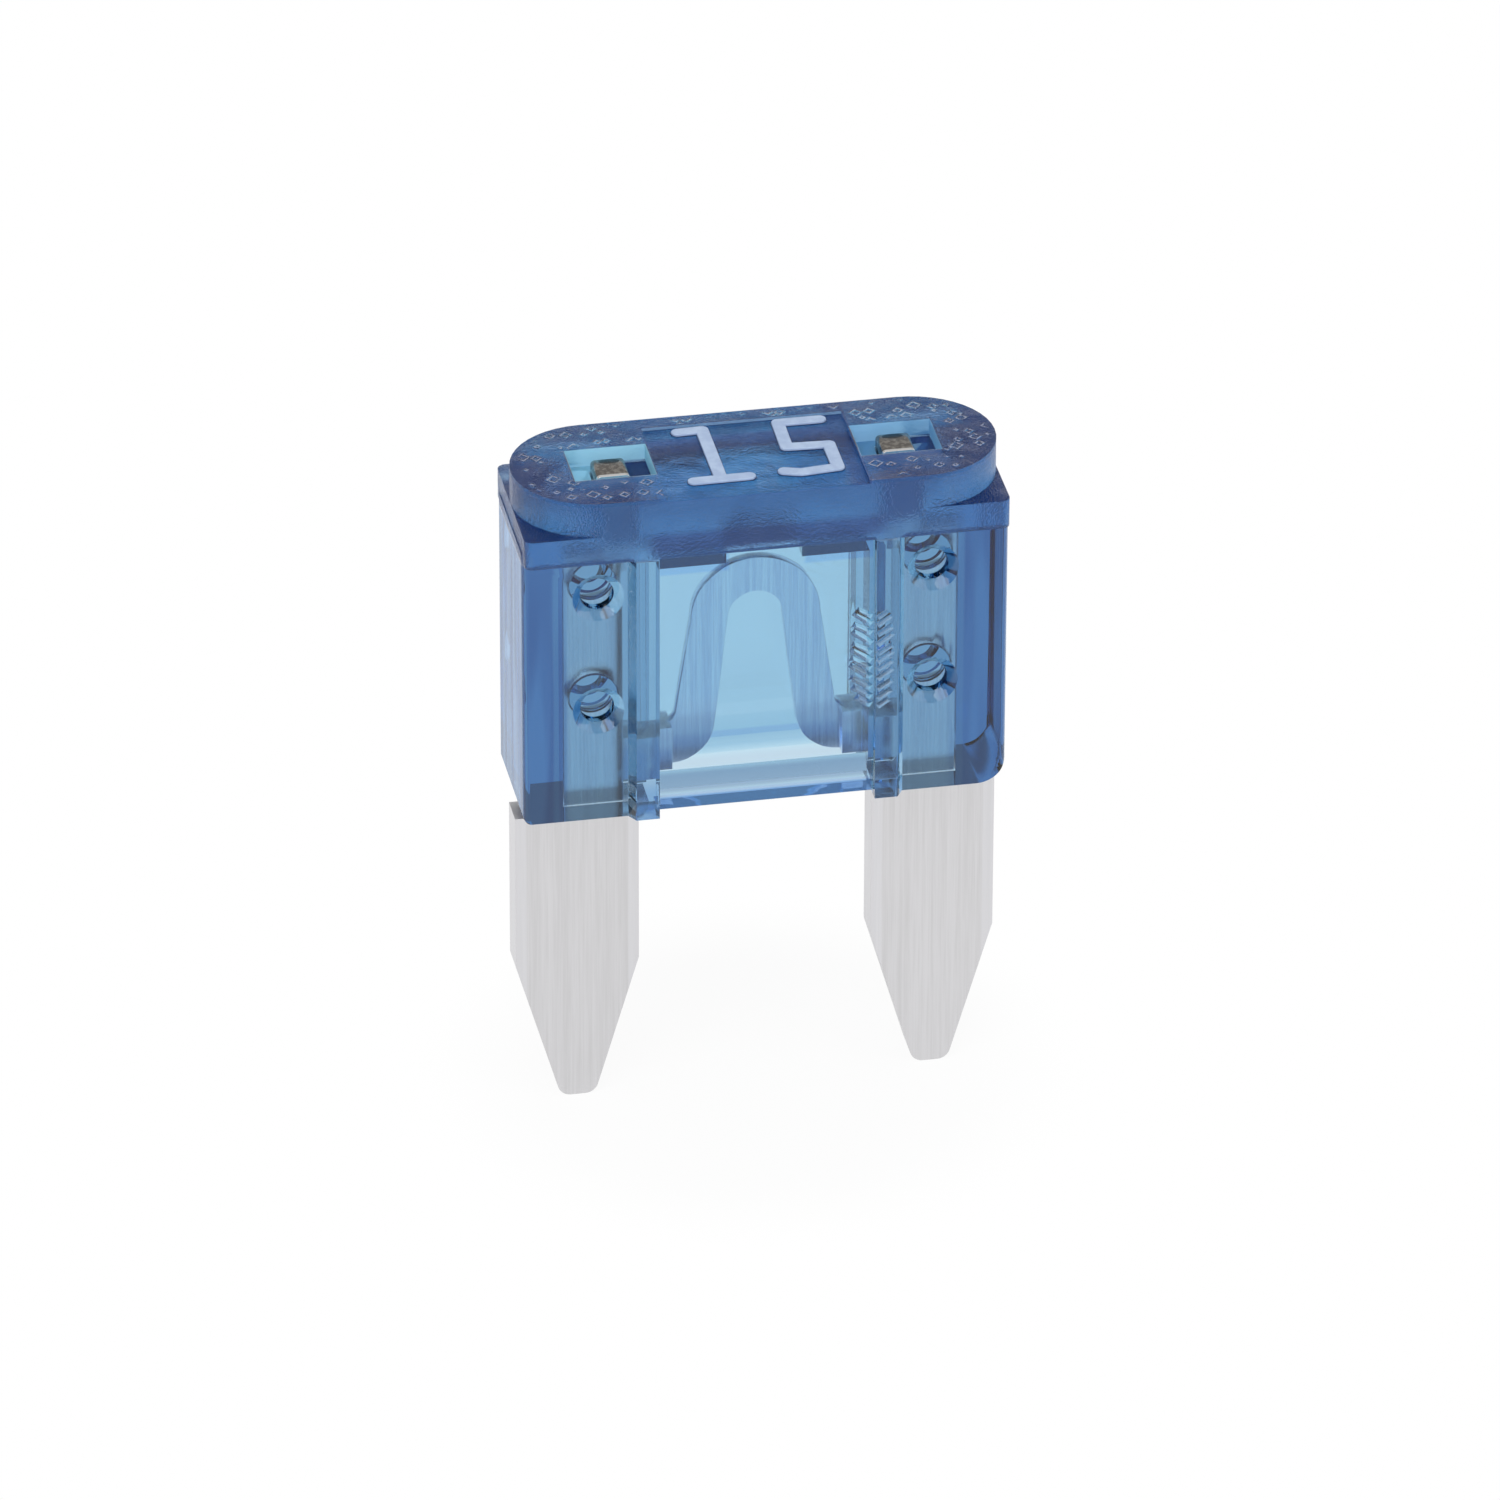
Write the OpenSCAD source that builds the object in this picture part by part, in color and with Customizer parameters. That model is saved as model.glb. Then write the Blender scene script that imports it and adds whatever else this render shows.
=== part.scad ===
// Automotive blade fuse of the small size, 10.9 mm wide.
// Two real pieces: a transparent moulded housing and a one-piece stamped element.
// Frame: +Z up towards the head, +X along the width, the front face looks along -Y.
// Origin: centre of the underside of the housing, midway between the two blades.

/* [Blades] */
// Distance between the centre lines of the two blades
blade_pitch = 8.1; // [7:0.05:9]
// Width of a blade
blade_w = 2.8; // [2:0.02:3.2]
// Thickness of a blade
blade_t = 0.8; // [0.5:0.01:1]
// Length of a blade below the housing
blade_len = 7.8; // [6:0.05:9]
// Length of the tapered end
taper_len = 3.45; // [1:0.05:5]
// Width of the tip before its corners are rounded
tip_w = 0.78; // [0.5:0.02:2]
// Radius of the tip corners
tip_r = 0.3; // [0.1:0.02:0.4]
// Width of the flare on a blade's inner edge, just under the housing
flare_w = 0.13; // [0:0.01:0.3]
// Length of that flare
flare_len = 0.3; // [0.1:0.05:1]

/* [Shanks] */
// How far the shank stands back from the blade's outer edge inside the housing
shoulder_out = 1.03; // [0.5:0.01:1.2]
// Depth of the blade's outer shoulder below the housing
shoulder_drop = 0.5; // [0:0.05:1]
// Width of the shank
shank_w = 1.33; // [1:0.01:1.8]
// Gap between the top of the shank and the roof of its slot
shank_gap = 0.1; // [0.05:0.01:0.3]
// How far the test tab reaches inward past the shank's inner edge
tab_step = 0.27; // [0.1:0.01:0.6]
// Width of a test tab
tab_w = 0.76; // [0.5:0.02:1.2]
// Radius of the tab's tip corners
tab_r = 0.1; // [0.05:0.01:0.3]
// Height of the tab's root below the top of the shank
tab_root = 0.5; // [0.2:0.05:1]
// Depth of the tab's tip below the top face
tab_drop = 0.12; // [0.1:0.01:0.8]

/* [Head] */
// Height of the top face above the underside
top_z = 8.1; // [7:0.05:9]
// Thickness of the head along Y
head_t = 3.7; // [3:0.02:4.4]
// How far the head stands back from the body at each end
head_back = 0.02; // [0:0.01:0.2]
// Height of the round-ended top part
cap_h = 0.82; // [0.4:0.02:1.2]
// Height of the whole head
head_h = 1.5; // [1.2:0.05:2]
// Radius of the upright corners of the square block under the cap
block_r = 0.2; // [0.05:0.05:0.6]
// Width of the shallow middle field in the top face
field_w = 4.5; // [3:0.02:5]
// Depth of that field
field_depth = 0.07; // [0.02:0.01:0.2]
// Width of the rim left behind the field
field_rim = 0.42; // [0.1:0.02:0.8]

/* [Body] */
// How far the body stands out beyond the blades at each end
body_over = 0; // [0:0.01:0.3]
// How far the towers stand back from the front and back of the head
tower_back = 0.3; // [0.1:0.01:0.6]
// Radius of the outer lower corner on the right
corner_r = 0.65; // [0.2:0.05:1.2]
// Radius of the outer lower corner on the left
corner_left_r = 0.2; // [0.1:0.05:1.2]
// Radius of the upright outer corners of the towers
tower_r = 0.15; // [0.05:0.05:0.5]
// Distance from the blade's inner edge to the inner side of the rib
rib_step = 0.22; // [0.1:0.01:0.5]
// Width of the upright rib at each side of the window
rib_w = 0.52; // [0.2:0.01:1]
// How far the ribs stand back from the front and back of the head
rib_back = 0.05; // [0:0.01:0.3]
// Width that the slanted flank adds at the foot of a rib
rib_flank = 0.15; // [0:0.01:0.3]

/* [Window] */
// How far the window stands back from the front and back of the head
window_back = 0.25; // [0.1:0.01:0.5]
// Wall of the window
window_wall = 0.5; // [0.3:0.05:0.8]
// How far the window's lower lip stands inward
lip = 0.25; // [0.05:0.01:0.35]
// Height of the straight part of that lip
lip_z = 0.37; // [0.2:0.01:0.6]
// Height at which the lip's slant meets the wall
lip_top = 0.93; // [0.7:0.01:1.5]
// Height of the window's lower edge above the underside
window_z = 0.12; // [0:0.01:1]

/* [Chamber] */
// How far the chamber's side stands in from the rib
chamber_step = 0.06; // [0:0.01:0.3]
// Thickness of the roof over the chamber
roof_t = 2.05; // [1.6:0.05:3]
// Width of the notch in the ceiling over the link
notch_w = 1.7; // [0.5:0.05:3]
// Height of that notch
notch_h = 0.45; // [0.1:0.01:0.6]
// Thickness of the roof over the blade slots
slot_roof = 1.65; // [1.3:0.05:2]
// Clearance between the housing and the element
clearance = 0.03; // [0.01:0.01:0.2]

/* [Test pockets] */
// Width of a pocket along X
pocket_w = 1.8; // [1:0.05:2.4]
// Width of a pocket along Y
pocket_t = 1.4; // [0.8:0.05:2]
// Depth of a pocket below the top face
pocket_depth = 0.42; // [0.3:0.02:1.2]

/* [Stakes] */
// Distance from the top of the shank to the upper stakes
stake_top = 0.75; // [0.6:0.05:1.2]
// Distance between the upper and lower stakes
stake_pitch = 2.85; // [2:0.05:3.5]
// Mouth diameter of a stake's dimple
mouth_d = 1.18; // [0.6:0.02:1.6]
// Diameter of the dimple below its cone
dimple_d = 0.76; // [0.3:0.02:1.2]
// Depth of the cone
cone_depth = 0.2; // [0.05:0.01:0.4]
// Depth of the whole dimple
dimple_depth = 0.42; // [0.2:0.01:0.8]
// Metal left at each side of the hole that the plastic pin fills
hole_margin = 0.095; // [0.05:0.005:0.4]

/* [Link] */
// Thickness of the thin link
link_t = 0.26; // [0.1:0.01:0.5]
// Gap between the top of the arch and the ceiling
arch_gap = 0.47; // [0.1:0.01:1]
// Inner radius of the arch
arch_ri = 0.62; // [0.3:0.01:1]
// Gap between a leg at its foot and the chamber's side
leg_gap = 0.57; // [0.2:0.01:1]
// How far a leg leans out from the arch to its foot
leg_lean = 0.34; // [0:0.01:0.6]
// Half the distance between the inner edges of the legs at the feet
leg_in = 0.92; // [0.5:0.01:1.5]
// Height of the upper edge of the feet
foot_top = 1.6; // [1:0.02:2.5]
// Height of the lower edge of the feet
foot_bottom = 0.54; // [0.2:0.02:1]
// Distance from a leg at which the foot takes the blade's full thickness
foot_step = 0.12; // [0:0.02:0.4]
// Radius of the turn from leg to foot, on its lower side
foot_r = 1.0; // [0.4:0.05:1.2]
// Radius of that turn on its upper side
turn_r = 0.25; // [0.1:0.05:0.4]

/* [Hidden] */
// small overlap that joins neighbouring forms, and how far cuts run past a face
e = 0.01;
past = 1;
bite = 0.2;
blade_x = blade_pitch / 2;
blade_in = blade_x - blade_w / 2;
blade_out = blade_x + blade_w / 2;
tip_z = -blade_len;
tip_in = blade_x - tip_w / 2;
tip_out = blade_x + tip_w / 2;
taper_angle = atan((blade_w - tip_w) / 2 / taper_len);
tip_inset = tip_r * (1 - sin(taper_angle)) / cos(taper_angle);
shank_out = blade_out - shoulder_out;
shank_in = shank_out - shank_w;
body_hw = blade_out + body_over;
head_hw = body_hw - head_back;
head_hy = head_t / 2;
head_z = top_z - head_h;
ledge_z = top_z - cap_h;
tower_hy = head_hy - tower_back;
rib_hy = head_hy - rib_back;
window_hy = head_hy - window_back;
window_hw = blade_in - rib_step;
chamber_hy = window_hy - window_wall;
chamber_hw = window_hw - chamber_step;
ceiling_z = top_z - roof_t;
slot_hy = blade_t / 2 + clearance;
slot_z = top_z - slot_roof;
shank_z = slot_z - shank_gap;
tab_x = shank_in - tab_step + tab_w / 2;
tab_z = top_z - tab_drop;
pocket_z = top_z - pocket_depth;
stake_x = shank_out - shank_w / 2;
stake_high_z = shank_z - stake_top;
stake_zs = [stake_high_z - stake_pitch, stake_high_z];
hole_d = shank_w - 2 * hole_margin;
pin_d = hole_d - 2 * clearance;
leg_out = chamber_hw - leg_gap;
foot_in = leg_out + foot_step;
arch_ro = leg_out - leg_lean;
arch_z = ceiling_z - arch_gap - arch_ro;
blue = [0.25, 0.45, 0.75, 0.6];
plating = [0.78, 0.79, 0.80];

// a block from its two opposite corners
module block(x0, x1, y0, y1, z0, z1) {
  translate([x0, y0, z0]) cube([x1 - x0, y1 - y0, z1 - z0]);
}

// a block on the X side of x0 with its two upright outer corners rounded
module round_block(x0, x1, hy, z0, z1, r) {
  block(x0, x1 - r, -hy, hy, z0, z1);
  block(x1 - r - e, x1, -hy + r, hy - r, z0, z1);
  for (s = [-1, 1]) translate([x1 - r, s * (hy - r), z0]) cylinder(h = z1 - z0, r = r, $fn = 48);
}

// a profile drawn in X and Z, as thick as t along Y and centred on Y = 0
module plate(t) {
  translate([0, t / 2, 0]) rotate([90, 0, 0]) linear_extrude(height = t) children();
}

// a profile drawn in Y and Z, from x = -hw to hw
module bar(hw) {
  translate([-hw, 0, 0]) rotate([90, 0, 90]) linear_extrude(height = 2 * hw) children();
}

// a pin, bore or cone along Y from y0 to y1
module across(x, z, y0, y1, d0, d1) {
  translate([x, y0, z]) rotate([-90, 0, 0]) cylinder(h = y1 - y0, d1 = d0, d2 = d1, $fn = 48);
}

// what is given, and its mirror image on the other side of the middle
module both() {
  children();
  mirror([1, 0, 0]) children();
}

// points on an arc in the X-Z profile, from angle a0 to a1
function arc(cx, cz, r, a0, a1, n) =
  [for (i = [0:n]) [cx + r * cos(a0 + (a1 - a0) * i / n), cz + r * sin(a0 + (a1 - a0) * i / n)]];

// Housing
// round-ended cap on a square block
module head() {
  block(-head_hw + head_hy, head_hw - head_hy, -head_hy, head_hy, ledge_z - e, top_z);
  for (s = [-1, 1]) translate([s * (head_hw - head_hy), 0, ledge_z - e])
    cylinder(h = cap_h + e, r = head_hy, $fn = 96);
  both() round_block(-e, head_hw, head_hy, head_z, ledge_z, block_r);
}

// one tower with its rounded outer lower corner
module tower(r) {
  difference() {
    round_block(window_hw, body_hw, tower_hy, 0, head_z + bite, tower_r);
    difference() {
      block(body_hw - r, body_hw + past, -tower_hy - past, tower_hy + past, -past, r);
      translate([body_hw - r, tower_hy + 2 * past, r]) rotate([90, 0, 0])
        cylinder(h = 2 * tower_hy + 4 * past, r = r, $fn = 64);
    }
  }
}

// rib on the front and back of a tower, with a slanted outer flank
module rib() {
  crest = window_hw + rib_w;
  linear_extrude(height = head_z + bite) polygon(concat(
    [[window_hw, -rib_hy], [crest, -rib_hy]],
    [for (s = [-1, 1]) [crest + rib_flank, s * tower_hy]],
    [[crest, rib_hy], [window_hw, rib_hy]]
  ));
}

// hollow behind the window, narrower at its foot where the walls thicken to a lip
module chamber_profile() {
  foot = chamber_hy - lip;
  polygon(concat(
    [for (s = [-1, 1]) [s * foot, -past]],
    [[foot, lip_z], [chamber_hy, lip_top]],
    [for (s = [1, -1]) [s * chamber_hy, ceiling_z]],
    [[-chamber_hy, lip_top], [-foot, lip_z]]
  ));
}

// dimple of a stake, sunk into the face that looks along the given side of Y
module dimple(z, side) {
  mirror([0, side > 0 ? 1 : 0, 0]) {
    across(stake_x, z, -tower_hy - e, -tower_hy + cone_depth, mouth_d, dimple_d);
    across(stake_x, z, -tower_hy + cone_depth - e, -tower_hy + dimple_depth, dimple_d, dimple_d);
  }
}

module half_cuts() {
  // slot for the blade, wide enough for its tab to pass, and the narrower way up for the tab
  block(chamber_hw - e, shank_out + clearance, -slot_hy, slot_hy, -past, slot_z);
  block(tab_x - tab_w / 2 - clearance, tab_x + tab_w / 2 + clearance, -slot_hy, slot_hy, slot_z - e, pocket_z + e);
  // test pocket in the top face
  block(tab_x - pocket_w / 2, tab_x + pocket_w / 2, -pocket_t / 2, pocket_t / 2, pocket_z, top_z + past);
  for (z = stake_zs) for (side = [-1, 1]) dimple(z, side);
}

module housing() {
  color(blue) {
    difference() {
      union() {
        head();
        block(-window_hw - e, window_hw + e, -window_hy, window_hy, window_z, head_z + bite);
        tower(corner_r);
        mirror([1, 0, 0]) tower(corner_left_r);
        both() rib();
      }
      bar(chamber_hw) chamber_profile();
      block(-notch_w / 2, notch_w / 2, -chamber_hy, chamber_hy, ceiling_z - e, ceiling_z + notch_h);
      // shallow field in the top face, open to the front
      block(-field_w / 2, field_w / 2, -head_hy - past, head_hy - field_rim, top_z - field_depth, top_z + past);
      both() half_cuts();
    }
    // pins of the stakes through the blades
    both() for (z = stake_zs) across(stake_x, z, -slot_hy - e, slot_hy + e, pin_d, pin_d);
  }
}

// Element
module blade_profile() {
  polygon(concat(
    [[blade_in, tip_z + taper_len]],
    arc(tip_in + tip_inset, tip_z + tip_r, tip_r, 180 + taper_angle, 270, 6),
    arc(tip_out - tip_inset, tip_z + tip_r, tip_r, 270, 360 - taper_angle, 6),
    [[blade_out, tip_z + taper_len], [blade_out, -shoulder_drop], [shank_out, -shoulder_drop]],
    [[shank_out, shank_z]],
    [[tab_x + tab_w / 2, shank_z]],
    arc(tab_x + tab_w / 2 - tab_r, tab_z - tab_r, tab_r, 0, 90, 4),
    arc(tab_x - tab_w / 2 + tab_r, tab_z - tab_r, tab_r, 90, 180, 4),
    [[tab_x - tab_w / 2, shank_z - tab_root], [shank_in, shank_z - tab_root], [shank_in, 0]],
    [[blade_in - flare_w, 0], [blade_in, -flare_len]]
  ));
}

module blade() {
  difference() {
    plate(blade_t) union() {
      blade_profile();
      polygon([[foot_in, foot_bottom], [shank_in + e, foot_bottom], [shank_in + e, foot_top], [foot_in, foot_top]]);
    }
    for (z = stake_zs) across(stake_x, z, -past, past, hole_d, hole_d);
  }
}

// one half of the thin link: quarter of the arch, leaning leg and the turn into its foot
module half_link_profile() {
  polygon(concat(
    arc(0, arch_z, arch_ro, 90, 0, 15),
    arc(leg_out + turn_r, foot_top + turn_r, turn_r, 180, 270, 4),
    [[shank_in + bite, foot_top], [shank_in + bite, foot_bottom]],
    arc(leg_in + foot_r, foot_bottom + foot_r, foot_r, 270, 180, 8),
    arc(0, arch_z, arch_ri, 0, 90, 10)
  ));
}

module fuse_element() {
  color(plating) {
    both() blade();
    plate(link_t) both() half_link_profile();
  }
}

housing();
fuse_element();
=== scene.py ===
"""Looks of the automotive blade fuse: clear blue housing, plated element, raised digits, studio light."""

import math

import bmesh
import bpy
from mathutils import Matrix, Vector


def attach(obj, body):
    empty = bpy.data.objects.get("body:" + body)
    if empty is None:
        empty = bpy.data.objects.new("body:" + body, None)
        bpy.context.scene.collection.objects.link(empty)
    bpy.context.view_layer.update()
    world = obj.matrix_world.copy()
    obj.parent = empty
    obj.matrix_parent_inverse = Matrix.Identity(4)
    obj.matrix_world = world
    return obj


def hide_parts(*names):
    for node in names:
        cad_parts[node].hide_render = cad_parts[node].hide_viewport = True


MM = 0.001

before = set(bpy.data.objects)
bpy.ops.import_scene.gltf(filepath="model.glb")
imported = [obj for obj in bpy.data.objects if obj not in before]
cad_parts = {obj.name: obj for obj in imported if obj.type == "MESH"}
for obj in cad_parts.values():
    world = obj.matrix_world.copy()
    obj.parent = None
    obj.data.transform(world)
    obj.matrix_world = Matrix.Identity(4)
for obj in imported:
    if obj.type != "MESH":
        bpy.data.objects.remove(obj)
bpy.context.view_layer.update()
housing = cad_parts["housing"]
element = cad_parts["fuse_element"]

# Places on the part in millimetres, as the source has them
TOP_END_X = 3.58
TOP_END_RADIUS = 1.85
POCKET_CENTER_X = 3.2
BLADE_CENTER_X = 4.05
WINDOW_FACE_Y = -1.6
RIB_FACE_Y = -1.8
BLADE_TIP_Z = -7.8

# Spans of the housing's pockets in millimetres, along x at each side and along y
POCKET_X = (2.28, 4.12)
POCKET_Y = (-0.72, 0.72)

# Soft borders of the housing's regions in millimetres, outside first
HEAD_Z = (6.52, 6.62)
TOP_Z = (8.0, 8.02)
FIELD_X = (2.32, 2.28)
COLUMN_X = (4.42, 4.50)
WINDOW_X = (2.40, 2.38)
WINDOW_Y = (-1.56, -1.58)
END_WALL_X = (5.42, 5.44)
UNDERSIDE_Z = (-0.05, 0.05)

# Heights of the plastic's relief in millimetres
GRAIN_HEIGHT = 0.032
WAVE_HEIGHT = 0.0042
MARK_HEIGHT = 0.10


# Node helpers
class Graph:
    """Shader nodes of one material or world, made with short calls."""

    def __init__(self, owner):
        owner.use_nodes = True
        self.tree = owner.node_tree
        self.tree.nodes.clear()

    def add(self, kind, **values):
        node = self.tree.nodes.new(kind)
        for name, value in values.items():
            setattr(node, name, value)
        return node

    def put(self, node, name, value):
        """Sets an input, or links it when the value is another node's output."""
        socket = node.inputs[name]
        if isinstance(value, bpy.types.NodeSocket):
            self.tree.links.new(value, socket)
        else:
            socket.default_value = value

    def math(self, operation, a, b=0.0):
        node = self.add("ShaderNodeMath", operation=operation)
        self.put(node, 0, a)
        self.put(node, 1, b)
        return node.outputs[0]

    def mul(self, value, *factors):
        for factor in factors:
            value = self.math("MULTIPLY", value, factor)
        return value

    def sum(self, value, *others):
        for other in others:
            value = self.math("ADD", value, other)
        return value

    def most(self, a, b):
        return self.math("MAXIMUM", a, b)

    def size(self, value):
        return self.math("ABSOLUTE", value)

    def outside(self, mask):
        return self.math("SUBTRACT", 1.0, mask)

    def ramp(self, value, low, high, out_low=0.0, out_high=1.0):
        """A smooth step of a value from low to high, which falls where low is the larger one."""
        node = self.add("ShaderNodeMapRange", interpolation_type="SMOOTHSTEP", clamp=True)
        self.put(node, "Value", value)
        self.put(node, "From Min", low)
        self.put(node, "From Max", high)
        self.put(node, "To Min", out_low)
        self.put(node, "To Max", out_high)
        return node.outputs[0]

    def band(self, value, low, high, soft):
        """1 where the value lies from low to high, with soft edges."""
        rise = self.ramp(value, low - soft, low + soft)
        fall = self.ramp(value, high - soft, high + soft, 1.0, 0.0)
        return self.mul(rise, fall)

    def step(self, place, low, high, out_low=0.0, out_high=1.0):
        """The ramp of a coordinate, with its ends in millimetres."""
        return self.ramp(place, low * MM, high * MM, out_low, out_high)

    def zone(self, place, low, high, soft):
        """The band of a coordinate, with its measures in millimetres."""
        return self.band(place, low * MM, high * MM, soft * MM)

    def mix(self, share, first, second):
        node = self.add("ShaderNodeMix", data_type="RGBA")
        self.put(node, 0, share)
        self.put(node, 6, first)
        self.put(node, 7, second)
        return node.outputs[2]

    def cover(self, color, *layers):
        """A colour with layers over it, each a mask and a colour, the last one on top."""
        for mask, layer in layers:
            color = self.mix(mask, color, layer)
        return color

    def noise(self, vector, scale, detail, rough):
        node = self.add("ShaderNodeTexNoise")
        self.put(node, "Vector", vector)
        self.put(node, "Scale", scale)
        self.put(node, "Detail", detail)
        self.put(node, "Roughness", rough)
        return node.outputs["Fac"]

    def upright(self, vector, share):
        """Coordinates whose z is scaled down, for patterns drawn out along z."""
        node = self.add("ShaderNodeVectorMath", operation="MULTIPLY")
        self.put(node, 0, vector)
        self.put(node, 1, (1.0, 1.0, share))
        return node.outputs[0]

    def bump(self, height, strength, distance, normal=None):
        node = self.add("ShaderNodeBump")
        self.put(node, "Height", height)
        self.put(node, "Strength", strength)
        self.put(node, "Distance", distance)
        if normal is not None:
            self.put(node, "Normal", normal)
        return node.outputs[0]

    def split(self, vector):
        node = self.add("ShaderNodeSeparateXYZ")
        self.put(node, 0, vector)
        return node.outputs

    def blend(self, share, first, second):
        """A mix of two shader nodes."""
        node = self.add("ShaderNodeMixShader")
        self.put(node, 0, share)
        self.put(node, 1, first.outputs[0])
        self.put(node, 2, second.outputs[0])
        return node


def rgb(r, g, b):
    return (r, g, b, 1.0)


def new_material(name):
    """A material with its graph, its output, a Principled shader and the object's coordinates."""
    mat = bpy.data.materials.new(name)
    g = Graph(mat)
    out = g.add("ShaderNodeOutputMaterial")
    shader = g.add("ShaderNodeBsdfPrincipled")
    coords = g.add("ShaderNodeTexCoord").outputs["Object"]
    return mat, g, out, shader, coords


# Materials
def ellipse_share(g, x, y, center, radii):
    """Distance from an ellipse's centre, 1 at its rim, with its measures in millimetres."""
    u = g.math("DIVIDE", g.sum(x, -center[0] * MM), radii[0] * MM)
    v = g.math("DIVIDE", g.sum(y, -center[1] * MM), radii[1] * MM)
    return g.math("SQRT", g.sum(g.mul(u, u), g.mul(v, v)))


def rim_distance(g, side, y):
    """Distance of a point of the top face from the round-ended rim."""
    over = g.most(g.sum(side, -TOP_END_X * MM), 0.0)
    across = g.math("SQRT", g.sum(g.mul(over, over), g.mul(y, y)))
    return g.math("SUBTRACT", TOP_END_RADIUS * MM, across)


def plastic(name):
    """Clear blue plastic with a frosted head, tinted by the regions of the housing."""
    mat, g, out, shader, coords = new_material(name)
    x, y, z = g.split(coords)
    side = g.size(x)
    # regions of the housing
    head = g.step(z, *HEAD_Z)
    lower = g.outside(head)
    pocket = g.mul(g.zone(side, *POCKET_X, 0.02), g.zone(y, *POCKET_Y, 0.02))
    inner = g.mul(pocket, head)
    frosted = g.mul(head, g.outside(pocket))
    top = g.mul(frosted, g.step(z, *TOP_Z))
    field = g.mul(top, g.step(side, *FIELD_X))
    column = g.mul(g.step(side, *COLUMN_X), lower)
    middle = g.mul(g.step(side, *WINDOW_X), lower)
    front = g.mul(middle, g.step(y, *WINDOW_Y))
    end_wall = g.mul(g.step(side, *END_WALL_X), lower)
    # fine grain and shallow sinks of the head, slow draw waves of the body
    grain = g.noise(coords, scale=14000.0, detail=2.0, rough=0.7)
    sinks = g.noise(g.upright(coords, 0.5), scale=1800.0, detail=0.0, rough=0.5)
    waves = g.noise(g.upright(coords, 0.08), scale=2600.0, detail=0.0, rough=0.6)
    # small plain marks around the ends and the rear edge of the top
    rim = rim_distance(g, side, y)
    ends = g.most(g.step(side, 2.30, 2.35), g.step(y, 1.48, 1.50))
    cells = g.add("ShaderNodeTexVoronoi", distance="MANHATTAN")
    g.put(cells, "Vector", coords)
    g.put(cells, "Scale", 2500.0)
    g.put(cells, "Randomness", 0.75)
    loops = g.band(cells.outputs["Distance"], 0.30, 0.46, 0.08)
    ring = g.mul(top, g.zone(rim, 0.16, 0.95, 0.05))
    marks = g.mul(ring, ends, loops)
    # relief in millimetres
    relief = g.mul(g.sum(grain, g.mul(sinks, 3.0)), g.mul(frosted, GRAIN_HEIGHT))
    relief = g.sum(relief, g.mul(waves, WAVE_HEIGHT), g.mul(marks, MARK_HEIGHT))
    normal = g.bump(relief, 1.0, MM)
    # parts of the lower body with a tint, painted light and painted shade at the foot of the window among
    # them
    streak = g.ramp(waves, 0.38, 0.62)
    # painted light in a greyer band above the front lip, painted shade on the lip's slant and on the lip
    # itself
    over_lip_light = g.mul(front, g.zone(z, 1.10, 1.36, 0.12))
    lip_slant_shade = g.mul(front, g.zone(z, 0.52, 1.02, 0.08))
    lip_shade = g.mul(front, g.step(z, 0.46, 0.38))
    rib_foot = g.mul(g.zone(side, 2.42, 2.97, 0.02), g.step(z, 1.30, 0.60), g.step(y, -1.70, -1.76))
    # painted shade along the foot of the window's rear wall
    rear_lip_shade = g.mul(middle, g.step(y, 1.56, 1.58), g.step(z, 0.34, 0.26))
    brow = g.mul(front, g.step(z, 6.00, 6.08), g.step(side, 0.80, 0.90))
    # dark belts: across the front of the head, across the middle field and on the step behind it
    head_belt = g.mul(g.zone(z, 6.72, 7.22, 0.12), g.step(side, 2.9, 2.4))
    head_belt = g.mul(frosted, head_belt, g.step(y, -1.5, -1.6))
    field_belt = g.mul(field, g.zone(y, 0.30, 0.95, 0.14))
    field_end = g.mul(field, g.step(x, 1.75, 1.95))
    field_step = g.mul(field, g.zone(y, 1.38, 1.47, 0.01))
    # colour of each region where light passes its surface
    tint = g.cover(
        rgb(1.0, 1.0, 1.0),
        (middle, rgb(0.80, 0.93, 0.98)),
        (over_lip_light, rgb(0.80, 0.84, 0.90)),
        (lip_slant_shade, rgb(0.36, 0.43, 0.57)),
        (lip_shade, rgb(0.26, 0.45, 0.90)),
        (rib_foot, rgb(0.34, 0.54, 0.84)),
        (rear_lip_shade, rgb(0.50, 0.66, 0.94)),
        (column, g.mix(streak, rgb(0.27, 0.43, 0.69), rgb(0.52, 0.68, 0.90))),
        (brow, rgb(0.42, 0.66, 1.0)),
        (frosted, rgb(0.70, 0.88, 1.0)),
        (top, rgb(0.20, 0.70, 1.0)),
        (head_belt, rgb(0.22, 0.26, 0.46)),
        (field_belt, rgb(0.26, 0.34, 0.72)),
        (field_end, rgb(0.14, 0.28, 0.56)),
        (field_step, rgb(0.12, 0.22, 0.38)),
    )
    g.put(shader, "Base Color", tint)
    g.put(shader, "Transmission Weight", 1.0)
    g.put(shader, "IOR", 1.56)
    g.put(shader, "Roughness", g.mul(frosted, 0.18))
    g.put(shader, "Normal", normal)
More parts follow.
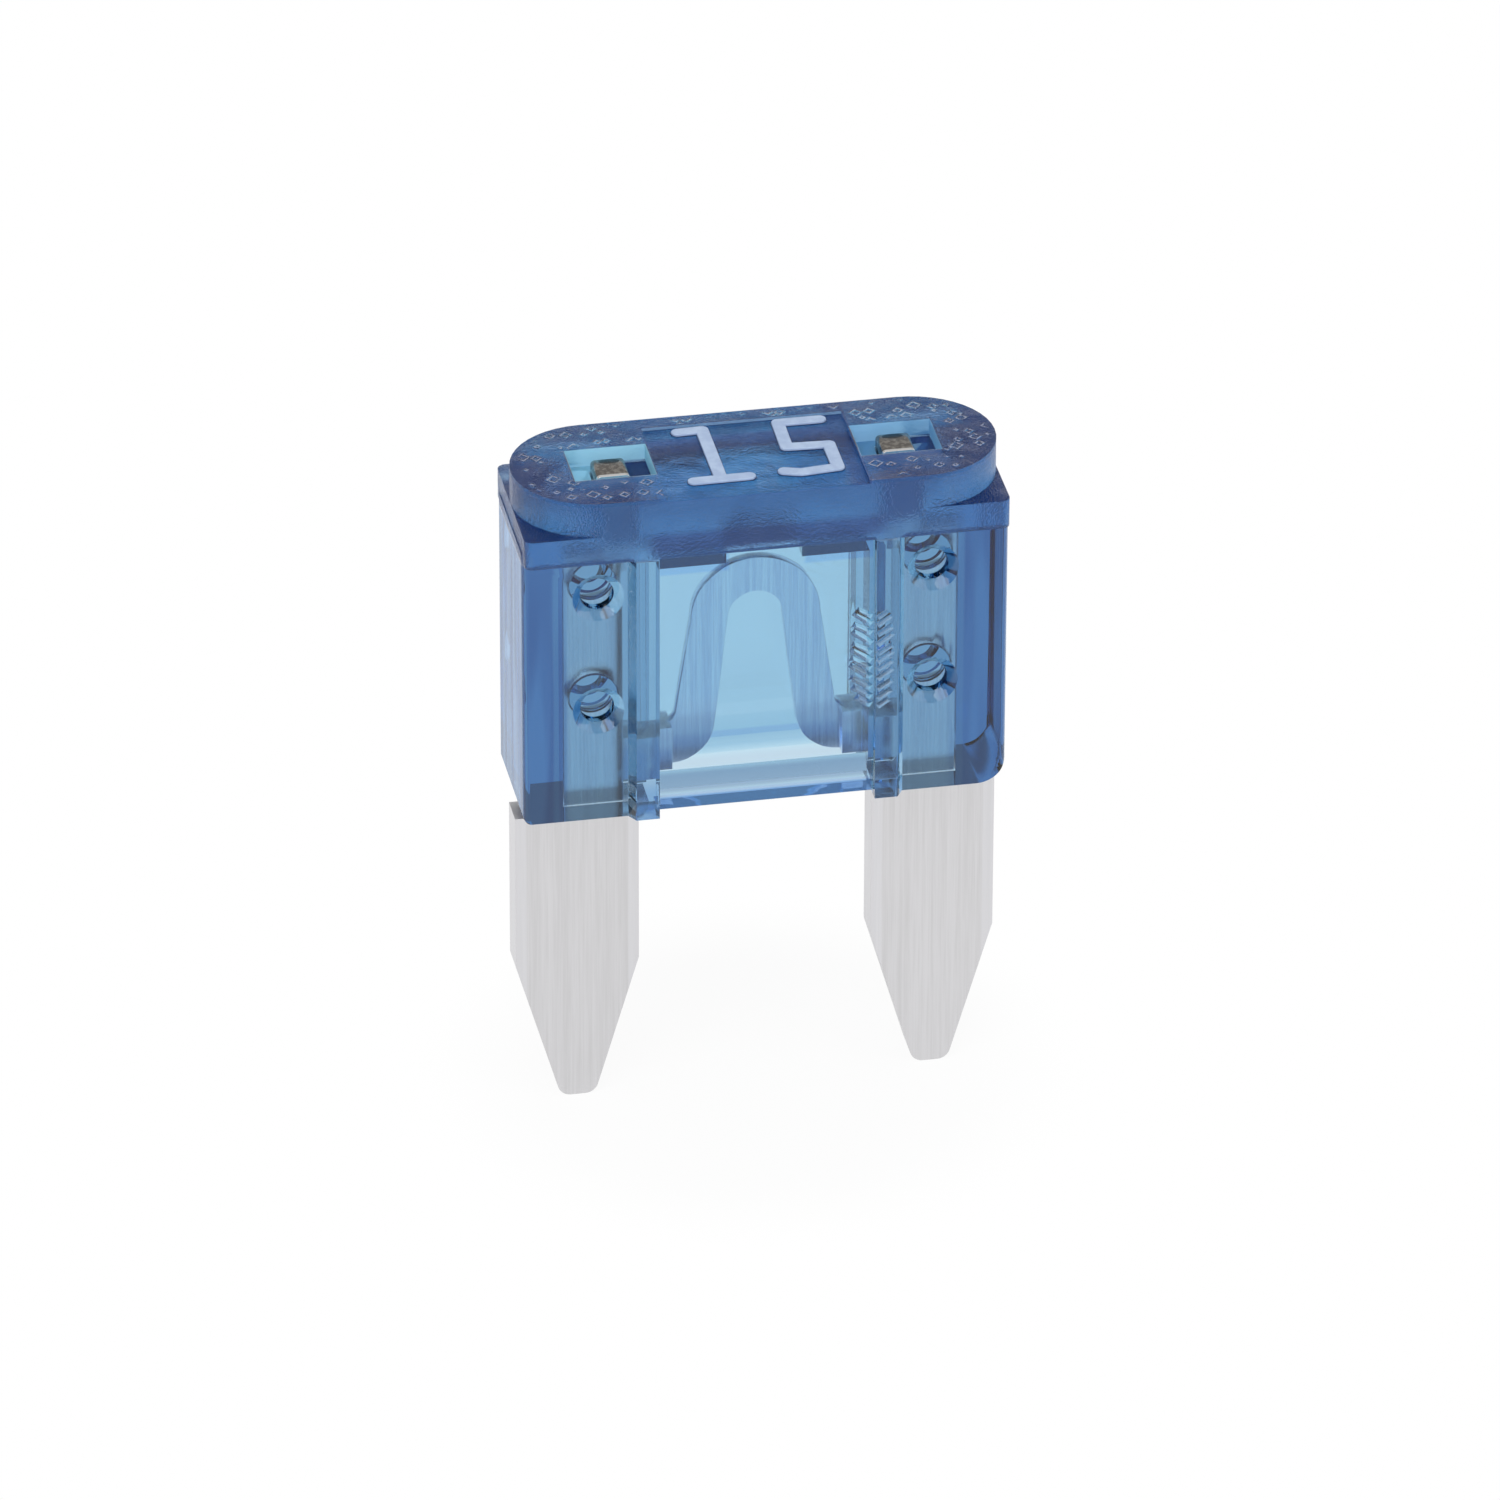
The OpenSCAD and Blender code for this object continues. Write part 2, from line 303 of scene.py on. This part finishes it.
    # haze: navy in the frosted head, pale in the pockets with painted shade on the right, painted shade
    # on the front lip, streaked on the end walls, and painted highlights in white for the glints
    # painted light and shade: the left pocket's walls paler, the right one's darker, and the right part
    # of each pocket floor darker still
    pocket_wall_lit_and_shaded = g.mix(g.step(x, -0.1, 0.1), rgb(0.36, 0.78, 1.0), rgb(0.20, 0.50, 0.85))
    past_center = g.sum(x, g.mul(g.math("SIGN", x), -POCKET_CENTER_X * MM))
    pocket_shade = g.mul(inner, g.step(z, 7.76, 7.70), g.step(past_center, 0.28, 0.45))
    # painted highlights: glints on the marks, small glints over the frosted head and a light line along
    # the front lip
    mark_glints = g.mul(marks, g.ramp(grain, 0.41, 0.50))
    speck_glints = g.mul(g.ramp(grain, 0.64, 0.74), frosted, 0.35)
    lip_highlight = g.mul(front, g.zone(z, 0.43, 0.47, 0.03))
    glint = g.most(g.most(mark_glints, speck_glints), g.mul(lip_highlight, 0.6))
    haze_color = g.cover(
        rgb(0.02, 0.12, 0.55),
        (inner, pocket_wall_lit_and_shaded),
        (pocket_shade, rgb(0.04, 0.08, 0.25)),
        (lip_shade, rgb(0.07, 0.22, 0.50)),
        (end_wall, g.mix(streak, rgb(0.24, 0.42, 0.76), rgb(0.38, 0.60, 0.95))),
        (glint, rgb(0.66, 0.72, 0.90)),
    )
    haze = g.add("ShaderNodeBsdfDiffuse")
    g.put(haze, "Color", haze_color)
    g.put(haze, "Normal", normal)
    haze_share = g.sum(g.mul(frosted, 0.14), g.mul(inner, 0.56), g.mul(g.sum(end_wall, lip_shade), 0.35))
    hazy = g.blend(g.most(haze_share, g.mul(glint, 0.75)), shader, haze)
    # the underside of the window's rear wall lets the light of the floor through
    underside = g.mul(middle, g.step(z, 0.15, 0.13), g.step(y, 0.75, 0.85))
    surface = g.blend(underside, hazy, g.add("ShaderNodeBsdfTransparent"))
    volume = g.add("ShaderNodeVolumeAbsorption")
    g.put(volume, "Color", rgb(0.179, 0.537, 0.747))
    g.put(volume, "Density", 950.0)
    g.put(out, "Surface", surface.outputs[0])
    g.put(out, "Volume", volume.outputs[0])
    return mat


def plating(name):
    """Tin plating with fine upright lines, which changes from the blades to the tab tips."""
    mat, g, out, shader, coords = new_material(name)
    x, y, z = g.split(coords)
    side = g.size(x)
    lines = g.noise(g.upright(coords, 0.012), scale=7000.0, detail=4.0, rough=0.75)
    fine = g.noise(g.upright(coords, 0.03), scale=22000.0, detail=3.0, rough=0.6)
    pits = g.noise(coords, scale=9000.0, detail=2.0, rough=0.6)
    tone = g.ramp(g.sum(g.mul(lines, 0.6), g.mul(fine, 0.4)), 0.35, 0.65)
    # below the housing: pale tin with a painted highlight along both long edges
    edge_highlight = g.step(g.size(g.sum(side, -BLADE_CENTER_X * MM)), 1.12, 1.18)
    tin_tone = g.mix(tone, rgb(0.615, 0.61, 0.62), rgb(0.685, 0.68, 0.695))
    below = g.mix(g.mul(edge_highlight, 0.45), tin_tone, rgb(0.74, 0.74, 0.77))
    # behind the plastic: painted light, a brighter copy of the tin, pale on the shanks, bluish on the
    # link between them
    shank = g.mix(tone, rgb(0.82, 0.82, 0.87), rgb(1.0, 1.0, 1.0))
    link = g.mix(tone, rgb(0.58, 0.66, 0.84), rgb(0.84, 0.90, 0.98))
    brightened_inside = g.mix(g.step(side, 2.2, 2.7), link, shank)
    # tab tips: dull brown-grey with random tone as a painted dark reflection, a painted highlight on the
    # front face, and painted shade of a dimple near the back
    tip_painted_light = g.mix(g.ramp(pits, 0.4, 0.65), rgb(0.24, 0.22, 0.20), rgb(0.44, 0.41, 0.37))
    dimple_shade = g.ramp(ellipse_share(g, side, y, center=(3.18, 0.29), radii=(0.24, 0.11)), 1.05, 0.9)
    tip_front_highlight = g.step(y, -0.29, -0.32)
    tip_painted_light = g.cover(tip_painted_light, (dimple_shade, rgb(0.05, 0.05, 0.05)), (tip_front_highlight, rgb(0.90, 0.89, 0.87)))
    color = g.cover(below, (g.step(z, *UNDERSIDE_Z), brightened_inside), (g.step(z, 7.4, 7.5), tip_painted_light))
    g.put(shader, "Base Color", color)
    g.put(shader, "Metallic", 1.0)
    # a little glossier behind the plastic
    rough = g.ramp(fine, 0.2, 0.8, 0.30, 0.42)
    g.put(shader, "Roughness", g.mul(rough, g.step(z, *UNDERSIDE_Z, 1.0, 0.6)))
    lined = g.bump(g.sum(lines, g.mul(fine, 0.5)), 0.15, 0.008 * MM)
    pitted = g.bump(g.ramp(pits, 0.70, 0.80), -0.3, 0.01 * MM, lined)
    g.put(shader, "Normal", pitted)
    g.put(out, "Surface", shader.outputs[0])
    return mat


def print_white(name):
    """Thin white print over the blue of the raised digits."""
    mat, g, out, shader, coords = new_material(name)
    patch = g.noise(coords, scale=3500.0, detail=3.0, rough=0.6)
    grain = g.noise(coords, scale=20000.0, detail=2.0, rough=0.6)
    color = g.mix(g.ramp(patch, 0.35, 0.7), rgb(0.41, 0.53, 0.76), rgb(0.50, 0.63, 0.85))
    g.put(shader, "Base Color", color)
    g.put(shader, "Roughness", 0.4)
    g.put(shader, "Normal", g.bump(grain, 0.3, 0.01 * MM))
    g.put(out, "Surface", shader.outputs[0])
    return mat


def shadow_sheet_blue(name):
    """Dark blue of the digits' feet, a painted shadow that shows as a rim around the print."""
    mat, g, out, shader, coords = new_material(name)
    patch = g.noise(coords, scale=6000.0, detail=3.0, rough=0.6)
    g.put(shader, "Base Color", g.mix(patch, rgb(0.015, 0.03, 0.10), rgb(0.03, 0.07, 0.19)))
    g.put(shader, "Roughness", 0.3)
    g.put(out, "Surface", shader.outputs[0])
    return mat


clear_blue = plastic("clear_blue_plastic")
tin = plating("tin_plating")
white = print_white("digit_white")
shadow_blue = shadow_sheet_blue("digit_shadow_blue")


def shown(name, bm, mesh, material):
    """An object of the finished mesh, in one material."""
    bm.to_mesh(mesh)
    bm.free()
    obj = bpy.data.objects.new(name, mesh)
    bpy.context.scene.collection.objects.link(obj)
    mesh.materials.clear()
    mesh.materials.append(material)
    return obj


# Housing and element with softened edges
WELD_DISTANCE = 0.0005 * MM
FLAT_ANGLE = math.radians(0.5)
SHARP_ANGLE = math.radians(10)


def softened(node, name, width, material):
    """A copy of a CAD node with its sharp edges rounded, which stands for the node."""
    mesh = node.data.copy()
    bm = bmesh.new()
    bm.from_mesh(mesh)
    bmesh.ops.remove_doubles(bm, verts=bm.verts, dist=WELD_DISTANCE)
    bmesh.ops.dissolve_limit(bm, angle_limit=FLAT_ANGLE, verts=bm.verts, edges=bm.edges)
    sharp = [e for e in bm.edges if len(e.link_faces) == 2 and e.calc_face_angle(0.0) > SHARP_ANGLE]
    bmesh.ops.bevel(bm, geom=sharp, offset=width, offset_type="OFFSET", segments=2, profile=0.5,
                    affect="EDGES", clamp_overlap=True)
    for face in bm.faces:
        face.smooth = True
    obj = shown(name, bm, mesh, material)
    weighted = obj.modifiers.new("flat_faces", "WEIGHTED_NORMAL")
    weighted.mode = "FACE_AREA"
    weighted.weight = 100
    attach(obj, "root")
    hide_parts(node.name)


softened(housing, "housing_clear", 0.03 * MM, clear_blue)
softened(element, "element_plated", 0.02 * MM, tin)


# Digits, with their measures in millimetres
DIGIT_SHADOW = {"half_width": 0.162, "bottom": 8.02, "top": 8.045}
DIGIT_PRINT = {"half_width": 0.145, "bottom": 8.04, "top": 8.092}
PRINT_EDGE = 0.02
STROKE_LIFT = 0.001
CORNER_PARTS = 6
END_PARTS = 10
ONE_PATHS = [
    [(-1.48, 1.16), (-0.93, 1.18), (-0.93, -1.08)],
    [(-1.53, -1.12), (-0.30, -1.1)],
]
FIVE_PATHS = [
    [(1.72, 1.20), (0.78, 1.20), (0.76, 0.07), (1.70, 0.02), (1.70, -1.04), (0.86, -1.13), (0.50, -1.02)],
]


def turn_points(center, start_angle, end_angle, r, parts):
    """Points of an arc of radius r around a centre."""
    cx, cy = center
    angles = [start_angle + (end_angle - start_angle) * i / parts for i in range(parts + 1)]
    return [(cx + r * math.cos(a), cy + r * math.sin(a)) for a in angles]


def ribbon(path, r):
    """Outline of a stroke of half-width r along a path, round outside and sharp inside its corners."""
    directions = []
    for (x0, y0), (x1, y1) in zip(path, path[1:]):
        directions.append(math.atan2(y1 - y0, x1 - x0))

    def half(points, angles):
        """The left side of the path, ending with the round cap at its last point."""
        out = []
        for i, (a, b) in enumerate(zip(angles, angles[1:])):
            bend = (b - a + math.pi) % (2 * math.pi) - math.pi
            corner = points[i + 1]
            if bend < 0:
                out += turn_points(corner, a + math.pi / 2, a + math.pi / 2 + bend, r, CORNER_PARTS)
            else:
                reach = r / math.cos(bend / 2)
                normal = a + math.pi / 2 + bend / 2
                out.append((corner[0] + reach * math.cos(normal), corner[1] + reach * math.sin(normal)))
        last = angles[-1]
        return out + turn_points(points[-1], last + math.pi / 2, last - math.pi / 2, r, END_PARTS)

    back_angles = [a + math.pi for a in reversed(directions)]
    return half(path, directions) + half(path[::-1], back_angles)


def raised(name, outline, bottom, top, soft, material):
    """A flat-topped form over an outline, with softened upper edges."""
    mesh = bpy.data.meshes.new(name)
    bm = bmesh.new()
    base = bm.faces.new([bm.verts.new((x * MM, y * MM, bottom * MM)) for x, y in outline])
    grown = bmesh.ops.extrude_face_region(bm, geom=[base])
    verts = [v for v in grown["geom"] if isinstance(v, bmesh.types.BMVert)]
    bmesh.ops.translate(bm, verts=verts, vec=(0.0, 0.0, (top - bottom) * MM))
    bmesh.ops.recalc_face_normals(bm, faces=bm.faces)
    if soft:
        upper = [e for e in bm.edges if all(v in verts for v in e.verts)]
        bmesh.ops.bevel(bm, geom=upper, offset=soft * MM, segments=2, profile=0.6, affect="EDGES")
    obj = shown(name, bm, mesh, material)
    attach(obj, "root")


def digit(name, paths):
    """White print on a raised foot of a darker blue, a painted shadow around the print, with one stroke
    for each path.
    """
    for i, path in enumerate(paths):
        part = name if len(paths) == 1 else name + "_" + "ab"[i]
        foot = ribbon(path, DIGIT_SHADOW["half_width"])
        raised(part + "_shadow_rim", foot, DIGIT_SHADOW["bottom"], DIGIT_SHADOW["top"], 0.0, shadow_blue)
        print_line = ribbon(path, DIGIT_PRINT["half_width"])
        bottom = DIGIT_PRINT["bottom"] + STROKE_LIFT * i
        top = DIGIT_PRINT["top"] + STROKE_LIFT * i
        raised(part, print_line, bottom, top, PRINT_EDGE, white)


digit("digit_1", ONE_PATHS)
digit("digit_5", FIVE_PATHS)


# Gate mark: uneven chevrons of low ridges within an oval, on the right rib and the window beside it
GATE_ROWS = 11
GATE_FIRST_Z = 2.30
GATE_ROW_PITCH = 0.225
GATE_CENTER_Z = 3.40
GATE_HALF_HEIGHT = 1.32
# how far a ridge reaches from the middle of the mark, and the share of it on the rib
GATE_REACH = 0.47
RIB_SHARE = 0.78
# rise of a ridge for each millimetre sideways
GATE_LEAN = 0.70
# where the ridges on the window and on the rib begin, and how much higher those on the rib do
WINDOW_SEAM_X = 2.37
RIB_SEAM_X = 2.46
RIB_SEAM_RISE = 0.05
# width and height of the ridges on each, and how deep their feet stand in the wall
WINDOW_RIDGE = (0.17, 0.038)
RIB_RIDGE = (0.16, 0.036)
RIDGE_SINK = 0.005


def ridge(bm, start, end, width, height, face_y):
    """A roof-shaped bar on a front face, from start to end in x and z, in millimetres."""
    (x0, z0), (x1, z1) = start, end
    length = math.hypot(x1 - x0, z1 - z0)
    along = ((x1 - x0) / length * width / 2, (z1 - z0) / length * width / 2)
    across = (-along[1], along[0])
    base = [(x0 + across[0], z0 + across[1]), (x0 - across[0], z0 - across[1]),
            (x1 - across[0], z1 - across[1]), (x1 + across[0], z1 + across[1])]
    crest = [(x0 + along[0], z0 + along[1]), (x1 - along[0], z1 - along[1])]
    foot = [bm.verts.new((x * MM, (face_y + RIDGE_SINK) * MM, z * MM)) for x, z in base]
    top = [bm.verts.new((x * MM, (face_y - height) * MM, z * MM)) for x, z in crest]
    bm.faces.new(foot)
    bm.faces.new((foot[0], foot[3], top[1], top[0]))
    bm.faces.new((foot[2], foot[1], top[0], top[1]))
    bm.faces.new((foot[1], foot[0], top[0]))
    bm.faces.new((foot[3], foot[2], top[1]))


def gate_mark():
    """Two ridges a row, whose height, slope and reach differ a little from row to row."""
    mesh = bpy.data.meshes.new("gate_mark")
    bm = bmesh.new()
    for i in range(GATE_ROWS):
        z = GATE_FIRST_Z + GATE_ROW_PITCH * i + 0.03 * math.sin(5.0 * i)
        reach = GATE_REACH * (1.0 - abs((z - GATE_CENTER_Z) / GATE_HALF_HEIGHT) ** 3) ** (1 / 3)
        lean = GATE_LEAN + 0.12 * math.sin(3.0 * i)
        left = reach * (1.0 + 0.06 * math.sin(7.0 * i))
        far = (WINDOW_SEAM_X - left, z + lean * left)
        ridge(bm, (WINDOW_SEAM_X, z), far, *WINDOW_RIDGE, WINDOW_FACE_Y)
        right = reach * RIB_SHARE
        far = (RIB_SEAM_X + right, z + RIB_SEAM_RISE + lean * right)
        ridge(bm, (RIB_SEAM_X, z + RIB_SEAM_RISE), far, *RIB_RIDGE, RIB_FACE_Y)
    bmesh.ops.recalc_face_normals(bm, faces=bm.faces)
    obj = shown("gate_mark", bm, mesh, clear_blue)
    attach(obj, "root")


gate_mark()


# Camera, as fitted to the photo
AZIMUTH = math.radians(-10.967)
ELEVATION = math.radians(29.740)
ROLL = math.radians(0.196)
TARGET_Z = 0.8
DISTANCE = 282.72


def build_camera():
    level = math.cos(ELEVATION)
    back = Vector((math.sin(AZIMUTH) * level, -math.cos(AZIMUTH) * level, math.sin(ELEVATION)))
    flat_right = Vector((math.cos(AZIMUTH), math.sin(AZIMUTH), 0.0))
    right = flat_right * math.cos(ROLL) + back.cross(flat_right) * math.sin(ROLL)
    up = back.cross(right)
    data = bpy.data.cameras.new("camera")
    cam = bpy.data.objects.new("camera", data)
    bpy.context.scene.collection.objects.link(cam)
    cam.rotation_mode = "QUATERNION"
    cam.rotation_quaternion = Matrix((right, up, back)).transposed().to_quaternion()
    cam.location = Vector((0.0, 0.0, TARGET_Z * MM)) + back * DISTANCE * MM
    data.sensor_width = 36.0
    data.lens = 304.2
    data.shift_x = -0.00153
    data.shift_y = -0.0081
    data.clip_start = 0.01
    data.clip_end = 10.0
    bpy.context.scene.camera = cam


# Floor, light and world, in metres
FLOOR_REACH = 1.5
SHADOW_REACH = (4.5 * MM, 8.0 * MM)


def build_world():
    """White where the camera looks; for all other rays a room that is darker above the horizon."""
    world = bpy.data.worlds.new("studio")
    bpy.context.scene.world = world
    g = Graph(world)
    out = g.add("ShaderNodeOutputWorld")
    shader = g.add("ShaderNodeBackground")
    path = g.add("ShaderNodeLightPath")
    height = g.split(g.add("ShaderNodeTexCoord").outputs["Generated"])[2]
    # from the horizon to the walls, and from the walls to a lighter ceiling
    room = g.sum(g.ramp(height, 0.02, 0.35, 1.0, 0.42), g.ramp(height, 0.6, 0.95, 0.0, 0.35))
    g.put(shader, "Color", rgb(1.0, 1.0, 1.0))
    g.put(shader, "Strength", g.most(room, path.outputs["Is Camera Ray"]))
    g.put(out, "Surface", shader.outputs[0])


def area(name, place, size, power):
    """A square lamp that looks at the origin."""
    light = bpy.data.lights.new(name, "AREA")
    light.shape = "RECTANGLE"
    light.size = size
    light.size_y = size
    light.energy = power
    obj = bpy.data.objects.new(name, light)
    bpy.context.scene.collection.objects.link(obj)
    obj.location = place
    obj.rotation_mode = "QUATERNION"
    obj.rotation_quaternion = (-Vector(place)).to_track_quat("-Z", "Y")


def build_floor():
    """White for rays from the camera, metal and glass, with the object's shadow kept near it."""
    mesh = bpy.data.meshes.new("floor")
    r = FLOOR_REACH
    z = BLADE_TIP_Z * MM
    mesh.from_pydata([(-r, -r, z), (r, -r, z), (r, r, z), (-r, r, z)], [], [(0, 1, 2, 3)])
    obj = bpy.data.objects.new("floor", mesh)
    bpy.context.scene.collection.objects.link(obj)
    mat = bpy.data.materials.new("floor_white")
    g = Graph(mat)
    out = g.add("ShaderNodeOutputMaterial")
    paper = g.add("ShaderNodeBsdfDiffuse")
    glow = g.add("ShaderNodeEmission")
    path = g.add("ShaderNodeLightPath")
    seen = g.most(path.outputs["Is Camera Ray"], path.outputs["Is Glossy Ray"])
    seen = g.most(seen, path.outputs["Is Transmission Ray"])
    x, y = g.split(g.add("ShaderNodeTexCoord").outputs["Object"])[:2]
    reach = g.math("SQRT", g.sum(g.mul(x, x), g.mul(y, y)))
    white_share = g.mul(seen, g.ramp(reach, *SHADOW_REACH, 0.92, 1.0))
    g.put(paper, "Color", rgb(0.9, 0.9, 0.9))
    g.put(glow, "Strength", 1.0)
    g.put(out, "Surface", g.blend(white_share, paper, glow).outputs[0])
    mesh.materials.append(mat)


build_camera()
build_world()
build_floor()
area("key", (-0.25, -0.35, 0.45), 0.45, 1.6)
area("fill", (0.45, -0.30, 0.25), 0.45, 0.8)
bpy.context.scene.view_settings.view_transform = "Standard"
